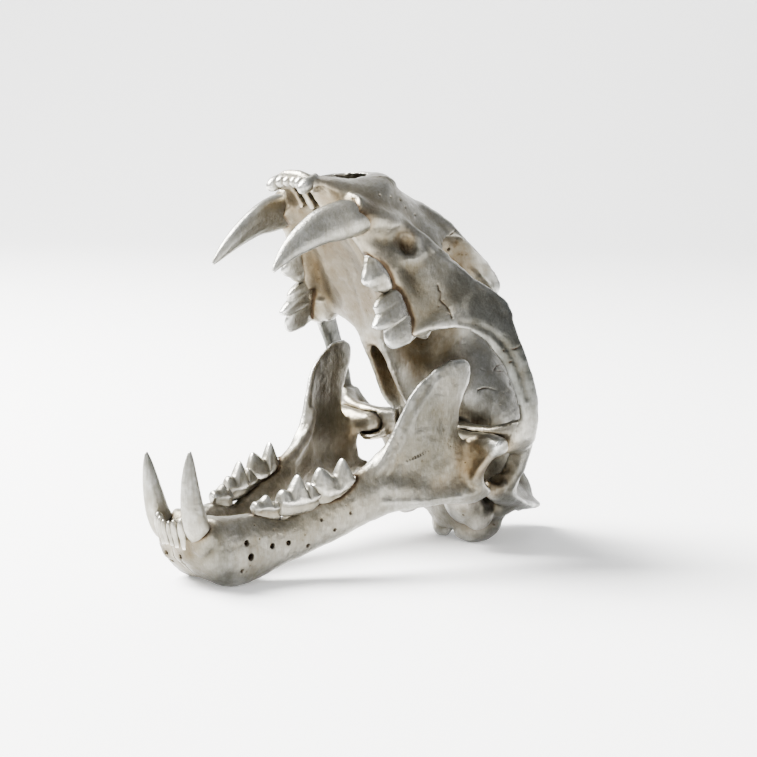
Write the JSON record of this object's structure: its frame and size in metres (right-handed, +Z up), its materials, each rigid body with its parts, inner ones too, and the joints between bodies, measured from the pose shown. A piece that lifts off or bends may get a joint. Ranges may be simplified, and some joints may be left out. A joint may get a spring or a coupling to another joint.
{
  "type": "cast metal leopard skull",
  "caption": "Life-size cast metal big-cat skull with its jaws held wide open, standing on its chin and the back of the skull as a display piece.",
  "frame": {"origin": "centre of the bounding box at floor level", "axes": "+Z up, +X to the animal's left, -Y towards the front of the lower jaw, +Y towards the crest at the back of the skull"},
  "size_m": [0.1446, 0.2314, 0.1859],
  "materials": {
    "cranium_silver": "satin cast silver with a warm patina in the hollows",
    "jaw_silver": "satin cast silver with a warm patina in the hollows",
    "tooth_silver": "polished cast silver"
  },
  "bodies": {
    "root": {"rostrum": "cranium_silver", "braincase": "cranium_silver", "zygomatic_arch_left": "cranium_silver", "zygomatic_arch_right": "cranium_silver", "mandible_left": "jaw_silver", "mandible_right": "jaw_silver"}
  },
  "joints": []
}
